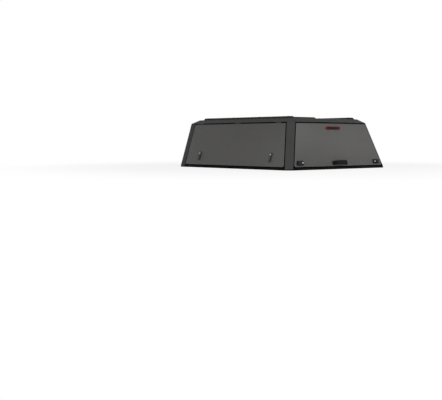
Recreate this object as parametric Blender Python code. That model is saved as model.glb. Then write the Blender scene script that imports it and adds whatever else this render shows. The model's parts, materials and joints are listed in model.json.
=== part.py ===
import math

import bmesh
import bpy
from mathutils import Matrix, Vector
from mathutils.geometry import tessellate_polygon

# Overall size of the canopy shell, in metres
SHELL_LENGTH = 1.925
SHELL_WIDTH = 1.718
SIDE_LEAN = math.radians(18.6)
REAR_LEAN = math.radians(15.4)
CORNER_CUT = 0.075
FRONT_CORNER_CUT = 0.012
FRONT_POST_WIDTH = 0.091
FRONT_POST_RETURN = 0.050

# Heights above the ground face of the base seal
SEAL_HEIGHT = 0.012
LOWER_GAP_LEVEL = 0.030
UPPER_GAP_LEVEL = 0.536
SKIRT_RISE = 0.046

# Sheet metal and clearances
SHEET = 0.0025
FIT = 0.0003
DOOR_GAP = 0.014
DOOR_DEPTH = 0.022
DOOR_CORNER_RADIUS = 0.016
WEATHER_SEAL_THICKNESS = 0.008
WEATHER_SEAL_WIDTH = 0.011
WEATHER_SEAL_INSET = 0.012
FRAME_LAND = 0.036
FRAME_OVERLAP = 0.005
FRAME_CORNER_RADIUS = 0.024

# Base rails
BASE_FLANGE = 0.060
BASE_SEAL_WIDTH = 0.052
BASE_SEAL_SETBACK = 0.003
FRONT_RAIL_HEIGHT = 0.045

# Roof
SKIRT_RUN_SIDE = 0.111
SKIRT_RUN_REAR = 0.093
SKIRT_RUN_FRONT = 0.048
ROOF_FLANGE_CORNER = 0.012
CENTRE_PANEL_HALF_WIDTH = 0.300
CENTRE_PANEL_RISE = 0.030
CENTRE_PANEL_CHAMFER = 0.028
CENTRE_PANEL_REAR_MARGIN = 0.404
CENTRE_PANEL_FRONT_MARGIN = 0.170
RAIL_INSET = 0.025
RAIL_WIDTH = 0.040
RAIL_HEIGHT = 0.022
RAIL_END_SLOPE = 0.036
RAIL_REAR_MARGIN = 0.012
RAIL_FRONT_MARGIN = 0.040
RAIL_EDGE_BEVEL = 0.003
ROOF_BOW_COUNT = 2
ROOF_BOW_WIDTH = 0.060
ROOF_BOW_DEPTH = 0.022
ROOF_BOW_END_MARGIN = 0.016

# Hinges
HINGE_RADIUS = 0.0055
HINGE_LENGTH = 0.088
HINGE_MIDDLE_SHARE = 0.44
HINGE_SIDE_PLAY = 0.001
HINGE_LEAF = 0.0042
HINGE_RAIL_SETBACK = 0.008
HINGE_LEAF_LAP = 0.002
HINGE_STEPS = 10
SIDE_HINGE_MARGIN = 0.115
REAR_HINGE_MARGIN = 0.160
HINGES_PER_DOOR = 3

# Door inner panels
INNER_PRESS_DEPTH = 0.010
INNER_RIM = 0.050
INNER_PRESS_SLOPE = 0.012
INNER_PAN_RADIUS = 0.030
SIDE_DOOR_BAYS = 4
REAR_DOOR_BAYS = 3

# Side door latches
SIDE_LATCH_LENGTH = 0.114
SIDE_LATCH_WIDTH = 0.038
SIDE_LATCH_RADIUS = 0.012
SIDE_LATCH_LEVEL = 0.117
SIDE_LATCH_MARGIN = 0.244
SIDE_KEY_DROP = 0.027
LATCH_PLATE = 0.005
LATCH_CYLINDER_RADIUS = 0.0095
LATCH_CYLINDER_HEIGHT = 0.012
LATCH_CYLINDER_SIDES = 20
LATCH_RUNNING_GAP = 0.0015
LEVER_THICKNESS = 0.010
LEVER_WIDTH = 0.024
LEVER_EDGE = 0.0015
LEVER_FOOT = 0.014
LEVER_NECK_RISE = 0.003
LEVER_LIP_RISE = 0.0065
LEVER_LIP_DROP = 0.002
LEVER_STEPS = 8
LEVER_SIDE_PLAY = 0.0005
LATCH_EAR = 0.0035

# Rear door latches
REAR_LATCH_LENGTH = 0.112
REAR_LATCH_HEIGHT = 0.054
REAR_LATCH_LEVEL = 0.050
REAR_LATCH_MARGIN = 0.034
REAR_LATCH_RADIUS = 0.008
REAR_LEVER_WIDTH = 0.052

# Pull handle on the rear door
GRIP_HALF_LENGTH = 0.092
GRIP_STANDOFF = 0.043
GRIP_LEVEL = 0.042
GRIP_WIDTH = 0.047
GRIP_THICKNESS = 0.009
GRIP_EDGE = 0.003
HANDLE_FOOT_HALF_SPAN = 0.126
HANDLE_BEND = 0.024

# Brake light on the rear door
LIGHT_LENGTH = 0.254
LIGHT_HEIGHT = 0.034
LIGHT_LEVEL = 0.462
LIGHT_THICKNESS = 0.009
LIGHT_RIM = 0.006
LIGHT_END_STEPS = 16

# Front window
WINDOW_SIDE_MARGIN = 0.150
WINDOW_LOWER_MARGIN = 0.110
WINDOW_UPPER_MARGIN = 0.085
WINDOW_RADIUS = 0.060
GASKET_WIDTH = 0.014
GASKET_THICKNESS = 0.012
GLASS_THICKNESS = 0.004

# Levels worked out from the sizes above
BASE_LEVEL = SEAL_HEIGHT
ROOF_EDGE_LEVEL = UPPER_GAP_LEVEL + DOOR_GAP / 2
LEDGE_LEVEL = LOWER_GAP_LEVEL - DOOR_GAP / 2
ROOF_LEVEL = ROOF_EDGE_LEVEL + SKIRT_RISE
FRAME_DEPTH = DOOR_DEPTH + WEATHER_SEAL_THICKNESS
RETURN_DEPTH = FRAME_DEPTH - FIT
POST_LEG = CORNER_CUT - DOOR_GAP / 2
HANDLE_OVERHANG = (
    GRIP_EDGE
    + (GRIP_STANDOFF - GRIP_EDGE) * math.cos(REAR_LEAN)
    - (GRIP_LEVEL - GRIP_WIDTH / 2 + GRIP_EDGE) * math.sin(REAR_LEAN)
    - (LOWER_GAP_LEVEL - BASE_LEVEL) * math.tan(REAR_LEAN)
)
REAR = (HANDLE_OVERHANG - SHELL_LENGTH) / 2
FRONT = REAR + SHELL_LENGTH


# Half the width of the shell at a level, measured in from the side plane by a depth square to it
def side_at(level, depth=0.0):
    return SHELL_WIDTH / 2 - (level - BASE_LEVEL) * math.tan(SIDE_LEAN) - depth / math.cos(SIDE_LEAN)


# Distance along the canopy of the rear plane at a level and depth
def rear_at(level, depth=0.0):
    return REAR + (level - BASE_LEVEL) * math.tan(REAR_LEAN) + depth / math.cos(REAR_LEAN)


# A flat working plane with its across, up and outward directions
class Plane:
    def __init__(self, origin, across, up, outward):
        self.origin = Vector(origin)
        self.across = Vector(across)
        self.up = Vector(up)
        self.outward = Vector(outward)

    def at(self, u, v, n=0.0):
        return self.origin + self.across * u + self.up * v + self.outward * n

    def outline(self, points, n=0.0):
        return [self.at(u, v, n) for u, v in points]

    def moved(self, u, v):
        return Plane(self.at(u, v), self.across, self.up, self.outward)


def side_plane(side):
    origin = (side * side_at(LOWER_GAP_LEVEL), 0, LOWER_GAP_LEVEL)
    up = (-side * math.sin(SIDE_LEAN), 0, math.cos(SIDE_LEAN))
    outward = (side * math.cos(SIDE_LEAN), 0, math.sin(SIDE_LEAN))
    return Plane(origin, (0, 1, 0), up, outward)


def rear_plane():
    up = (0, math.sin(REAR_LEAN), math.cos(REAR_LEAN))
    outward = (0, -math.cos(REAR_LEAN), math.sin(REAR_LEAN))
    return Plane((0, rear_at(LOWER_GAP_LEVEL), LOWER_GAP_LEVEL), (1, 0, 0), up, outward)


# The centre line of the gap round a side door, in its plane
def side_gap_line():
    height = (UPPER_GAP_LEVEL - LOWER_GAP_LEVEL) / math.cos(SIDE_LEAN)
    front = FRONT - FRONT_POST_WIDTH
    return [
        (rear_at(LOWER_GAP_LEVEL) + CORNER_CUT, 0),
        (front, 0),
        (front, height),
        (rear_at(UPPER_GAP_LEVEL) + CORNER_CUT, height),
    ]


# The centre line of the gap round the rear door, in its plane
def rear_gap_line():
    height = (UPPER_GAP_LEVEL - LOWER_GAP_LEVEL) / math.cos(REAR_LEAN)
    lower = side_at(LOWER_GAP_LEVEL) - CORNER_CUT
    upper = side_at(UPPER_GAP_LEVEL) - CORNER_CUT
    return [(-lower, 0), (lower, 0), (upper, height), (-upper, height)]


# Moves every edge of a convex outline inwards, by one distance or by one for each edge
def inset(outline, distance):
    count = len(outline)
    distances = distance if isinstance(distance, list) else [distance] * count
    points = [Vector(point) for point in outline]
    result = []
    for index in range(count):
        before = (points[index] - points[index - 1]).normalized()
        after = (points[(index + 1) % count] - points[index]).normalized()
        first = points[index] + Vector((-before.y, before.x)) * distances[index - 1]
        second = points[index] + Vector((-after.y, after.x)) * distances[index]
        cross = before.x * after.y - before.y * after.x
        step = ((second.x - first.x) * after.y - (second.y - first.y) * after.x) / cross
        result.append(tuple(first + before * step))
    return result


# Rounds the corners of a convex outline with arcs
def rounded(outline, radius, steps=4):
    count = len(outline)
    result = []
    for index in range(count):
        corner = Vector(outline[index])
        before = (Vector(outline[index - 1]) - corner).normalized()
        after = (Vector(outline[(index + 1) % count]) - corner).normalized()
        half = before.angle(after) / 2
        centre = corner + (before + after).normalized() * radius / math.sin(half)
        start = corner + before * radius / math.tan(half) - centre
        sweep = math.pi - 2 * half
        turn = math.copysign(sweep, before.x * after.y - before.y * after.x) * -1
        for step in range(steps + 1):
            point = centre + Matrix.Rotation(turn * step / steps, 2) @ start
            result.append((point.x, point.y))
    return result


def rectangle(width, height, u=0.0, v=0.0):
    return [
        (u - width / 2, v - height / 2),
        (u + width / 2, v - height / 2),
        (u + width / 2, v + height / 2),
        (u - width / 2, v + height / 2),
    ]


def circle(radius, steps, u=0.0, v=0.0):
    angles = [2 * math.pi * step / steps for step in range(steps)]
    return [(u + radius * math.cos(angle), v + radius * math.sin(angle)) for angle in angles]


def finish(colour, roughness, metallic):
    return {"colour": colour, "roughness": roughness, "metallic": metallic}


FINISHES = {
    "door_paint": finish((0.10, 0.098, 0.095, 1), 0.42, 0.0),
    "frame_paint": finish((0.055, 0.054, 0.053, 1), 0.6, 0.0),
    "black_trim": finish((0.012, 0.012, 0.012, 1), 0.55, 0.0),
    "seal_rubber": finish((0.008, 0.008, 0.008, 1), 0.85, 0.0),
    "red_lens": finish((0.28, 0.008, 0.008, 1), 0.2, 0.0),
    "window_glass": finish((0.03, 0.035, 0.035, 1), 0.05, 0.0),
    "inner_paint": finish((0.02, 0.02, 0.02, 1), 0.7, 0.0),
}


def material(name):
    if name in bpy.data.materials:
        return bpy.data.materials[name]
    made = bpy.data.materials.new(name)
    made.use_nodes = True
    shader = made.node_tree.nodes["Principled BSDF"]
    shader.inputs["Base Color"].default_value = FINISHES[name]["colour"]
    shader.inputs["Roughness"].default_value = FINISHES[name]["roughness"]
    shader.inputs["Metallic"].default_value = FINISHES[name]["metallic"]
    return made


# Turns a mesh in world coordinates into an object whose origin lies at its pivot
def place(name, mesh_data, finish_name, pivot=None, smooth_angle=None):
    bmesh.ops.recalc_face_normals(mesh_data, faces=mesh_data.faces)
    return place_as_drawn(name, mesh_data, finish_name, pivot, smooth_angle)


def place_as_drawn(name, mesh_data, finish_name, pivot=None, smooth_angle=None):
    origin = Vector(pivot) if pivot is not None else Vector((0, 0, 0))
    bmesh.ops.translate(mesh_data, verts=mesh_data.verts, vec=-origin)
    mesh = bpy.data.meshes.new(name)
    mesh_data.to_mesh(mesh)
    mesh_data.free()
    mesh.materials.append(material(finish_name))
    if smooth_angle is not None:
        mesh.shade_smooth()
        mesh.set_sharp_from_angle(angle=smooth_angle)
    made = bpy.data.objects.new(name, mesh)
    made.location = origin
    bpy.context.scene.collection.objects.link(made)
    return made


def thicken(made, thickness):
    wall = made.modifiers.new("wall", "SOLIDIFY")
    wall.thickness = thickness
    wall.offset = -1
    wall.use_even_offset = True
    return made


# Joins hidden shapes onto a piece, so that it becomes one body with them
def fuse(made, shapes, name):
    guide = place(name, shapes, made.data.materials[0].name)
    guide.hide_render = True
    guide.display_type = "WIRE"
    union = made.modifiers.new(name, "BOOLEAN")
    union.operation = "UNION"
    union.object = guide
    return made


# A flat slab: an outline, with a hole where one is given, pushed along a vector
def slab(outline, push, hole=None, mesh_data=None):
    mesh_data = mesh_data or bmesh.new()
    loops = [outline] if hole is None else [outline, hole]
    near = [[mesh_data.verts.new(point) for point in loop] for loop in loops]
    far = [[mesh_data.verts.new(Vector(point) + Vector(push)) for point in loop] for loop in loops]
    for near_loop, far_loop in zip(near, far):
        for index in range(len(near_loop)):
            other = (index + 1) % len(near_loop)
            mesh_data.faces.new((near_loop[index], near_loop[other], far_loop[other], far_loop[index]))
    if hole is None:
        mesh_data.faces.new(near[0])
        mesh_data.faces.new(far[0])
        return mesh_data
    triangles = tessellate_polygon([[Vector(point) for point in loop] for loop in loops])
    for cap in (near[0] + near[1], far[0] + far[1]):
        for triangle in triangles:
            mesh_data.faces.new([cap[index] for index in triangle])
    return mesh_data


# A folded sheet between two end profiles, with its outer faces turned away from an inside point
def folded_sheet(name, start, end, inside, finish_name, pivot=None):
    mesh_data = bmesh.new()
    first = [mesh_data.verts.new(point) for point in start]
    second = [mesh_data.verts.new(point) for point in end]
    for index in range(len(first) - 1):
        mesh_data.faces.new((first[index], first[index + 1], second[index + 1], second[index]))
    mesh_data.normal_update()
    facing = sum((face.calc_center_median() - Vector(inside)).dot(face.normal) for face in mesh_data.faces)
    if facing < 0:
        bmesh.ops.reverse_faces(mesh_data, faces=mesh_data.faces)
    return thicken(place_as_drawn(name, mesh_data, finish_name, pivot), SHEET)


def clear_scene():
    for existing in list(bpy.data.objects):
        bpy.data.objects.remove(existing)


# One strip of closed-cell rubber under the whole base
def build_base_seal():
    outer = inset(plan_outline(BASE_LEVEL, POST_LEG, FRONT_CORNER_CUT), BASE_SEAL_SETBACK)
    half = side_at(BASE_LEVEL)
    corners = [(-half, rear_at(BASE_LEVEL)), (half, rear_at(BASE_LEVEL)), (half, FRONT), (-half, FRONT)]
    inner = inset(corners, BASE_SEAL_SETBACK + BASE_SEAL_WIDTH)
    ring = slab([(x, y, 0) for x, y in outer], (0, 0, SEAL_HEIGHT - FIT), [(x, y, 0) for x, y in inner])
    place("base_seal", ring, "seal_rubber")


# Plan of the shell at a level, seen from above and anticlockwise from the rear left
def plan_outline(level, rear_cut, front_cut):
    half = side_at(level)
    rear = rear_at(level)
    return [
        (-half + rear_cut, rear),
        (half - rear_cut, rear),
        (half, rear + rear_cut),
        (half, FRONT - front_cut),
        (half - front_cut, FRONT),
        (-half + front_cut, FRONT),
        (-half, FRONT - front_cut),
        (-half, rear + rear_cut),
    ]


# Folded corner posts: a face across the corner, with a return behind each door edge
def rear_post_profile(side, level):
    half = side_at(level)
    rear = rear_at(level)
    return [
        Vector((side * side_at(level, RETURN_DEPTH), rear + POST_LEG, level)),
        Vector((side * half, rear + POST_LEG, level)),
        Vector((side * (half - POST_LEG), rear, level)),
        Vector((side * (half - POST_LEG), rear_at(level, RETURN_DEPTH), level)),
    ]


def front_post_profile(side, level):
    half = side_at(level)
    edge = FRONT - FRONT_POST_WIDTH + DOOR_GAP / 2
    return [
        Vector((side * side_at(level, RETURN_DEPTH), edge, level)),
        Vector((side * half, edge, level)),
        Vector((side * half, FRONT - FRONT_CORNER_CUT, level)),
        Vector((side * (half - FRONT_CORNER_CUT), FRONT, level)),
        Vector((side * (half - FRONT_POST_RETURN), FRONT, level)),
    ]


# A closed section of even thickness along the left of an open path, seen from above
def sheet_section(path, thickness):
    count = len(path)
    runs = [(Vector(path[i + 1].xy) - Vector(path[i].xy)).normalized() for i in range(count - 1)]
    lefts = [Vector((-run.y, run.x)) for run in runs]
    backs = []
    for index, point in enumerate(path):
        before = lefts[max(index - 1, 0)]
        after = lefts[min(index, count - 2)]
        spread = before + after
        step = spread * (2 * thickness / spread.length_squared)
        backs.append(point + Vector((step.x, step.y, 0)))
    return path + backs[::-1]


def build_posts(side, word):
    top = ROOF_EDGE_LEVEL - FIT
    profiles = (("rear", rear_post_profile, -side), ("front", front_post_profile, side))
    for place_word, profile, turn in profiles:
        lower = sheet_section(profile(side, BASE_LEVEL), turn * SHEET)
        upper = sheet_section(profile(side, top), turn * SHEET)
        place(f"{word}_{place_word}_post", bar(lower, upper), "frame_paint")


# Base rails: a ledge under the door, a short outer lip and a flange on the seal
def rail_profile(half_at, along):
    ledge = LEDGE_LEVEL
    return [
        (half_at(ledge, RETURN_DEPTH - SHEET * math.sin(SIDE_LEAN)), along(ledge), ledge),
        (half_at(ledge, 0.0), along(ledge), ledge),
        (half_at(BASE_LEVEL, 0.0), along(BASE_LEVEL), BASE_LEVEL),
        (half_at(BASE_LEVEL, 0.0) - BASE_FLANGE, along(BASE_LEVEL), BASE_LEVEL),
    ]


def build_side_base_rail(side, word):
    rear_end = rail_profile(side_at, lambda level: rear_at(level + SHEET) + POST_LEG + FIT)
    front_edge = FRONT - FRONT_POST_WIDTH + DOOR_GAP / 2 - FIT
    front_end = rail_profile(side_at, lambda level: front_edge)
    start = [(side * x, y, z) for x, y, z in rear_end]
    end = [(side * x, y, z) for x, y, z in front_end]
    middle = (side * (side_at(BASE_LEVEL) - BASE_FLANGE / 2), 0, (LEDGE_LEVEL + BASE_LEVEL) / 2)
    folded_sheet(f"{word}_base_rail", start, end, middle, "inner_paint")


def build_rear_sill():
    def profile(side):
        ledge_end = side * (side_at(LEDGE_LEVEL + SHEET) - POST_LEG - FIT)
        base_end = side * (side_at(BASE_LEVEL + SHEET) - POST_LEG - FIT)
        return [
            (ledge_end, rear_at(LEDGE_LEVEL, RETURN_DEPTH - SHEET * math.sin(REAR_LEAN)), LEDGE_LEVEL),
            (ledge_end, rear_at(LEDGE_LEVEL), LEDGE_LEVEL),
            (base_end, rear_at(BASE_LEVEL), BASE_LEVEL),
            (base_end, rear_at(BASE_LEVEL) + BASE_FLANGE, BASE_LEVEL),
        ]

    middle = (0, rear_at(BASE_LEVEL) + BASE_FLANGE / 2, (LEDGE_LEVEL + BASE_LEVEL) / 2)
    folded_sheet("rear_sill", profile(-1), profile(1), middle, "inner_paint")


# An angle behind the foot of the front panel
def build_front_base_rail():
    back = FRONT - SHEET - FIT

    def profile(side):
        end = side * (side_at(BASE_LEVEL + FRONT_RAIL_HEIGHT) - FRONT_POST_RETURN - FIT)
        return [
            (end, back, BASE_LEVEL + FRONT_RAIL_HEIGHT),
            (end, back, BASE_LEVEL),
            (end, back - BASE_FLANGE, BASE_LEVEL),
        ]

    middle = (0, back - BASE_FLANGE / 2, BASE_LEVEL + FRONT_RAIL_HEIGHT / 2)
    folded_sheet("front_base_rail", profile(-1), profile(1), middle, "inner_paint")


def front_panel_outline():
    top = ROOF_EDGE_LEVEL - FIT
    lower = side_at(BASE_LEVEL) - FRONT_POST_RETURN - FIT
    upper = side_at(top) - FRONT_POST_RETURN - FIT
    return [(-lower, BASE_LEVEL), (lower, BASE_LEVEL), (upper, top), (-upper, top)]


def window_outline(offset):
    sides = [WINDOW_LOWER_MARGIN, WINDOW_SIDE_MARGIN, WINDOW_UPPER_MARGIN, WINDOW_SIDE_MARGIN]
    corners = inset(front_panel_outline(), [margin + offset for margin in sides])
    return rounded(corners, WINDOW_RADIUS - offset, 6)


def build_front_panel():
    def upright(points, y):
        return [(x, y, z) for x, z in points]

    hole = window_outline(0)
    panel = slab(upright(front_panel_outline(), FRONT), (0, -SHEET, 0), upright(hole, FRONT))
    place("front_panel", panel, "frame_paint")
    rubber_back = FRONT - GASKET_THICKNESS
    outer = upright(window_outline(FIT), rubber_back)
    inner = upright(window_outline(GASKET_WIDTH), rubber_back)
    gasket = slab(outer, (0, GASKET_THICKNESS, 0), inner)
    place("front_window_gasket", gasket, "seal_rubber")
    pane_back = rubber_back + (GASKET_THICKNESS - GLASS_THICKNESS) / 2
    pane = slab(upright(window_outline(GASKET_WIDTH + FIT), pane_back), (0, GLASS_THICKNESS, 0))
    place("front_window", pane, "window_glass")


# Skins a stack of rings, which may repeat a corner, and closes both ends
def skin_rings(rings):
    mesh_data = bmesh.new()
    drawn = []
    for ring in rings:
        made = {point: mesh_data.verts.new(point) for point in dict.fromkeys(ring)}
        drawn.append([made[point] for point in ring])
    for lower, upper in zip(drawn, drawn[1:]):
        for index in range(len(lower)):
            other = (index + 1) % len(lower)
            corners = list(dict.fromkeys((lower[index], lower[other], upper[other], upper[index])))
            if len(corners) > 2:
                mesh_data.faces.new(corners)
    for ring in (drawn[0], drawn[-1]):
        mesh_data.faces.new(list(dict.fromkeys(ring)))
    return mesh_data


# The distance that a fold's inner line stands in from its outer line, in even sheet
def fold_shift(rise, run):
    return SHEET * math.tan(math.atan2(rise, run) / 2)


def at_level(outline, level):
    return [(x, y, level) for x, y in outline]


# Repeats four corners, so that each stands over the two ends of a cut corner
def doubled(corners):
    return [corners[0], corners[1], corners[1], corners[2], corners[2], corners[3], corners[3], corners[0]]


# Pressed roof: a flange over the posts, sloping skirts, a flat top and a raised centre panel
def build_roof():
    edge = plan_outline(ROOF_EDGE_LEVEL, POST_LEG, FRONT_CORNER_CUT)
    side_depth = RETURN_DEPTH / math.cos(SIDE_LEAN)
    rear_depth = RETURN_DEPTH / math.cos(REAR_LEAN)
    corner = ROOF_FLANGE_CORNER
    front = RETURN_DEPTH
    flange = inset(edge, [rear_depth, corner, side_depth, front, front, front, side_depth, corner])
    runs = [SKIRT_RUN_REAR, SKIRT_RUN_SIDE, SKIRT_RUN_FRONT, SKIRT_RUN_SIDE]
    half = side_at(ROOF_EDGE_LEVEL)
    rear = rear_at(ROOF_EDGE_LEVEL)
    shoulders = inset([(-half, rear), (half, rear), (half, FRONT), (-half, FRONT)], runs)
    lips = [SHEET / math.tan(math.atan2(SKIRT_RISE, run) / 2) for run in runs]
    lip_steps = []
    for step in lips:
        lip_steps += [step, step / 2]
    lip = inset(edge, lip_steps)
    inner_shoulders = inset(shoulders, [fold_shift(SKIRT_RISE, run) for run in runs])
    wide = CENTRE_PANEL_HALF_WIDTH
    panel_rear = shoulders[0][1] + CENTRE_PANEL_REAR_MARGIN
    panel_front = shoulders[2][1] - CENTRE_PANEL_FRONT_MARGIN
    foot = [(-wide, panel_rear), (wide, panel_rear), (wide, panel_front), (-wide, panel_front)]
    raised = inset(foot, CENTRE_PANEL_CHAMFER)
    shift = fold_shift(CENTRE_PANEL_RISE, CENTRE_PANEL_CHAMFER)
    top = ROOF_LEVEL + CENTRE_PANEL_RISE
    rings = [
        at_level(doubled(inset(raised, shift)), top - SHEET),
        at_level(doubled(inset(foot, shift)), ROOF_LEVEL - SHEET),
        at_level(doubled(inner_shoulders), ROOF_LEVEL - SHEET),
        at_level(lip, ROOF_EDGE_LEVEL + SHEET),
        at_level(flange, ROOF_EDGE_LEVEL + SHEET),
        at_level(flange, ROOF_EDGE_LEVEL),
        at_level(edge, ROOF_EDGE_LEVEL),
        at_level(doubled(shoulders), ROOF_LEVEL),
        at_level(doubled(foot), ROOF_LEVEL),
        at_level(doubled(raised), top),
    ]
    place("roof_panel", skin_rings(rings), "frame_paint")


# A low roof rail with sloping ends, along each shoulder of the roof
def build_roof_rail(side, word):
    outer = side_at(ROOF_EDGE_LEVEL) - SKIRT_RUN_SIDE - RAIL_INSET
    rear = rear_at(ROOF_EDGE_LEVEL) + SKIRT_RUN_REAR + RAIL_REAR_MARGIN
    front = FRONT - SKIRT_RUN_FRONT - RAIL_FRONT_MARGIN
    foot = ROOF_LEVEL + FIT
    top = foot + RAIL_HEIGHT
    profile = [(rear, foot), (front, foot), (front - RAIL_END_SLOPE, top), (rear + RAIL_END_SLOPE, top)]
    rail = slab([(side * outer, y, z) for y, z in profile], (-side * RAIL_WIDTH, 0, 0))
    made = place(f"{word}_roof_rail", rail, "frame_paint")
    edge = made.modifiers.new("edge", "BEVEL")
    edge.width = RAIL_EDGE_BEVEL
    edge.segments = 2
    edge.limit_method = "ANGLE"


# Top-hat bows under the flat of the roof
def build_roof_bow(index):
    half = side_at(ROOF_EDGE_LEVEL) - SKIRT_RUN_SIDE - ROOF_BOW_END_MARGIN
    rear = rear_at(ROOF_EDGE_LEVEL) + SKIRT_RUN_REAR
    front = FRONT - SKIRT_RUN_FRONT
    middle = rear + (front - rear) * (index + 1) / (ROOF_BOW_COUNT + 1)
    top = ROOF_LEVEL - 2 * SHEET - FIT
    low = top - ROOF_BOW_DEPTH
    waist = ROOF_BOW_WIDTH / 4

    def profile(x):
        return [
            (x, middle - 2 * waist, top),
            (x, middle - waist, top),
            (x, middle - waist, low),
            (x, middle + waist, low),
            (x, middle + waist, top),
            (x, middle + 2 * waist, top),
        ]

    inside = (0, middle, top + SHEET)
    folded_sheet(f"roof_bow_{index + 1}", profile(-half), profile(half), inside, "inner_paint")


# The flat frame and rubber seal behind the edge of a door
def build_door_frame(word, plane, gap_line, lean):
    drop = FRAME_DEPTH * math.sin(lean)
    low = (LEDGE_LEVEL - FRAME_OVERLAP - LOWER_GAP_LEVEL + drop) / math.cos(lean)
    high = (ROOF_EDGE_LEVEL + FRAME_OVERLAP - LOWER_GAP_LEVEL + drop) / math.cos(lean)
    beside = -DOOR_GAP / 2 - FRAME_OVERLAP
    outer = plane.outline(inset(gap_line, [low, beside, gap_line[2][1] - high, beside]), -FRAME_DEPTH)
    opening = rounded(inset(gap_line, DOOR_GAP / 2 + FRAME_LAND), FRAME_CORNER_RADIUS)
    hole = plane.outline(opening, -FRAME_DEPTH)
    place(f"{word}_door_frame", slab(outer, -plane.outward * SHEET, hole), "inner_paint")
    seal_line = inset(gap_line, DOOR_GAP / 2 + WEATHER_SEAL_INSET)
    seal_inner = inset(seal_line, WEATHER_SEAL_WIDTH)
    back = -FRAME_DEPTH + FIT
    seal_outer = plane.outline(rounded(seal_line, FRAME_CORNER_RADIUS), back)
    seal_hole = plane.outline(rounded(seal_inner, FRAME_CORNER_RADIUS - WEATHER_SEAL_WIDTH), back)
    strip = slab(seal_outer, plane.outward * (WEATHER_SEAL_THICKNESS - 2 * FIT), seal_hole)
    place(f"{word}_door_seal", strip, "seal_rubber")


# Outline of a hinge knuckle and its leaf, which leaves the barrel downwards
def knuckle_outline(leaf_length):
    meeting = math.acos((HINGE_LEAF - HINGE_RADIUS) / HINGE_RADIUS)
    sweep = math.pi + meeting
    angles = [math.pi - sweep * step / HINGE_STEPS for step in range(HINGE_STEPS + 1)]
    arc = [(HINGE_RADIUS * math.cos(angle), HINGE_RADIUS * math.sin(angle)) for angle in angles]
    return arc + [(HINGE_LEAF - HINGE_RADIUS, -leaf_length), (-HINGE_RADIUS, -leaf_length)]


def hinge_centres(gap_line, margin):
    low = gap_line[3][0] + margin
    high = gap_line[2][0] - margin
    return [low + (high - low) * index / (HINGES_PER_DOOR - 1) for index in range(HINGES_PER_DOOR)]


def knuckles(axis, across, outward, leafward, spans, leaf_length):
    mesh_data = bmesh.new()
    for start, end in spans:
        foot = axis + across * start
        profile = [foot + outward * n - leafward * v for n, v in knuckle_outline(leaf_length)]
        slab(profile, across * (end - start), mesh_data=mesh_data)
    return mesh_data


def middle_spans(centres):
    half = HINGE_LENGTH * HINGE_MIDDLE_SHARE / 2
    return [(centre - half, centre + half) for centre in centres]


def outer_spans(centres):
    inner = HINGE_LENGTH * HINGE_MIDDLE_SHARE / 2 + HINGE_SIDE_PLAY
    spans = []
    for centre in centres:
        spans.append((centre - HINGE_LENGTH / 2, centre - inner))
        spans.append((centre + inner, centre + HINGE_LENGTH / 2))
    return spans


# Joins two end sections of a bar into one closed body
def bar(start, end):
    mesh_data = bmesh.new()
    first = [mesh_data.verts.new(point) for point in start]
    second = [mesh_data.verts.new(point) for point in end]
    mesh_data.faces.new(first)
    mesh_data.faces.new(second)
    for index in range(len(first)):
        other = (index + 1) % len(first)
        mesh_data.faces.new((first[index], first[other], second[other], second[index]))
    return mesh_data


# The flat bar under the edge of the roof that carries the fixed half of each hinge
def hinge_rail_section():
    top = ROOF_EDGE_LEVEL - FIT
    low = top - HINGE_LEAF
    return [(HINGE_RAIL_SETBACK, top), (HINGE_RAIL_SETBACK, low), (RETURN_DEPTH, low), (RETURN_DEPTH, top)]


def side_hinge_section(side, y_at):
    return [(side * side_at(level, depth), y_at(level), level) for depth, level in hinge_rail_section()]


def rear_hinge_section(side):
    def end_at(level):
        return side * (side_at(level) - POST_LEG - FIT)

    return [(end_at(level), rear_at(level, depth), level) for depth, level in hinge_rail_section()]


def build_side_hinge_rail(side, word, plane, gap_line):
    front = FRONT - FRONT_POST_WIDTH + DOOR_GAP / 2 - FIT
    start = side_hinge_section(side, lambda level: rear_at(level) + POST_LEG + FIT)
    end = side_hinge_section(side, lambda level: front)
    rail = place(f"{word}_hinge_rail", bar(start, end), "inner_paint")
    axis = plane.at(0, gap_line[2][1])
    spans = middle_spans(hinge_centres(gap_line, SIDE_HINGE_MARGIN))
    reach = HINGE_RAIL_SETBACK + HINGE_RADIUS
    shapes = knuckles(axis, plane.across, Vector((0, 0, -1)), Vector((-side, 0, 0)), spans, reach)
    fuse(rail, shapes, f"{word}_hinge_rail_knuckles")


def build_rear_hinge_rail(plane, gap_line):
    rail = place("rear_hinge_rail", bar(rear_hinge_section(-1), rear_hinge_section(1)), "inner_paint")
    axis = plane.at(0, gap_line[2][1])
    spans = middle_spans(hinge_centres(gap_line, REAR_HINGE_MARGIN))
    reach = HINGE_RAIL_SETBACK + HINGE_RADIUS
    shapes = knuckles(axis, plane.across, Vector((0, 0, -1)), Vector((0, 1, 0)), spans, reach)
    fuse(rail, shapes, "rear_hinge_rail_knuckles")


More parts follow.
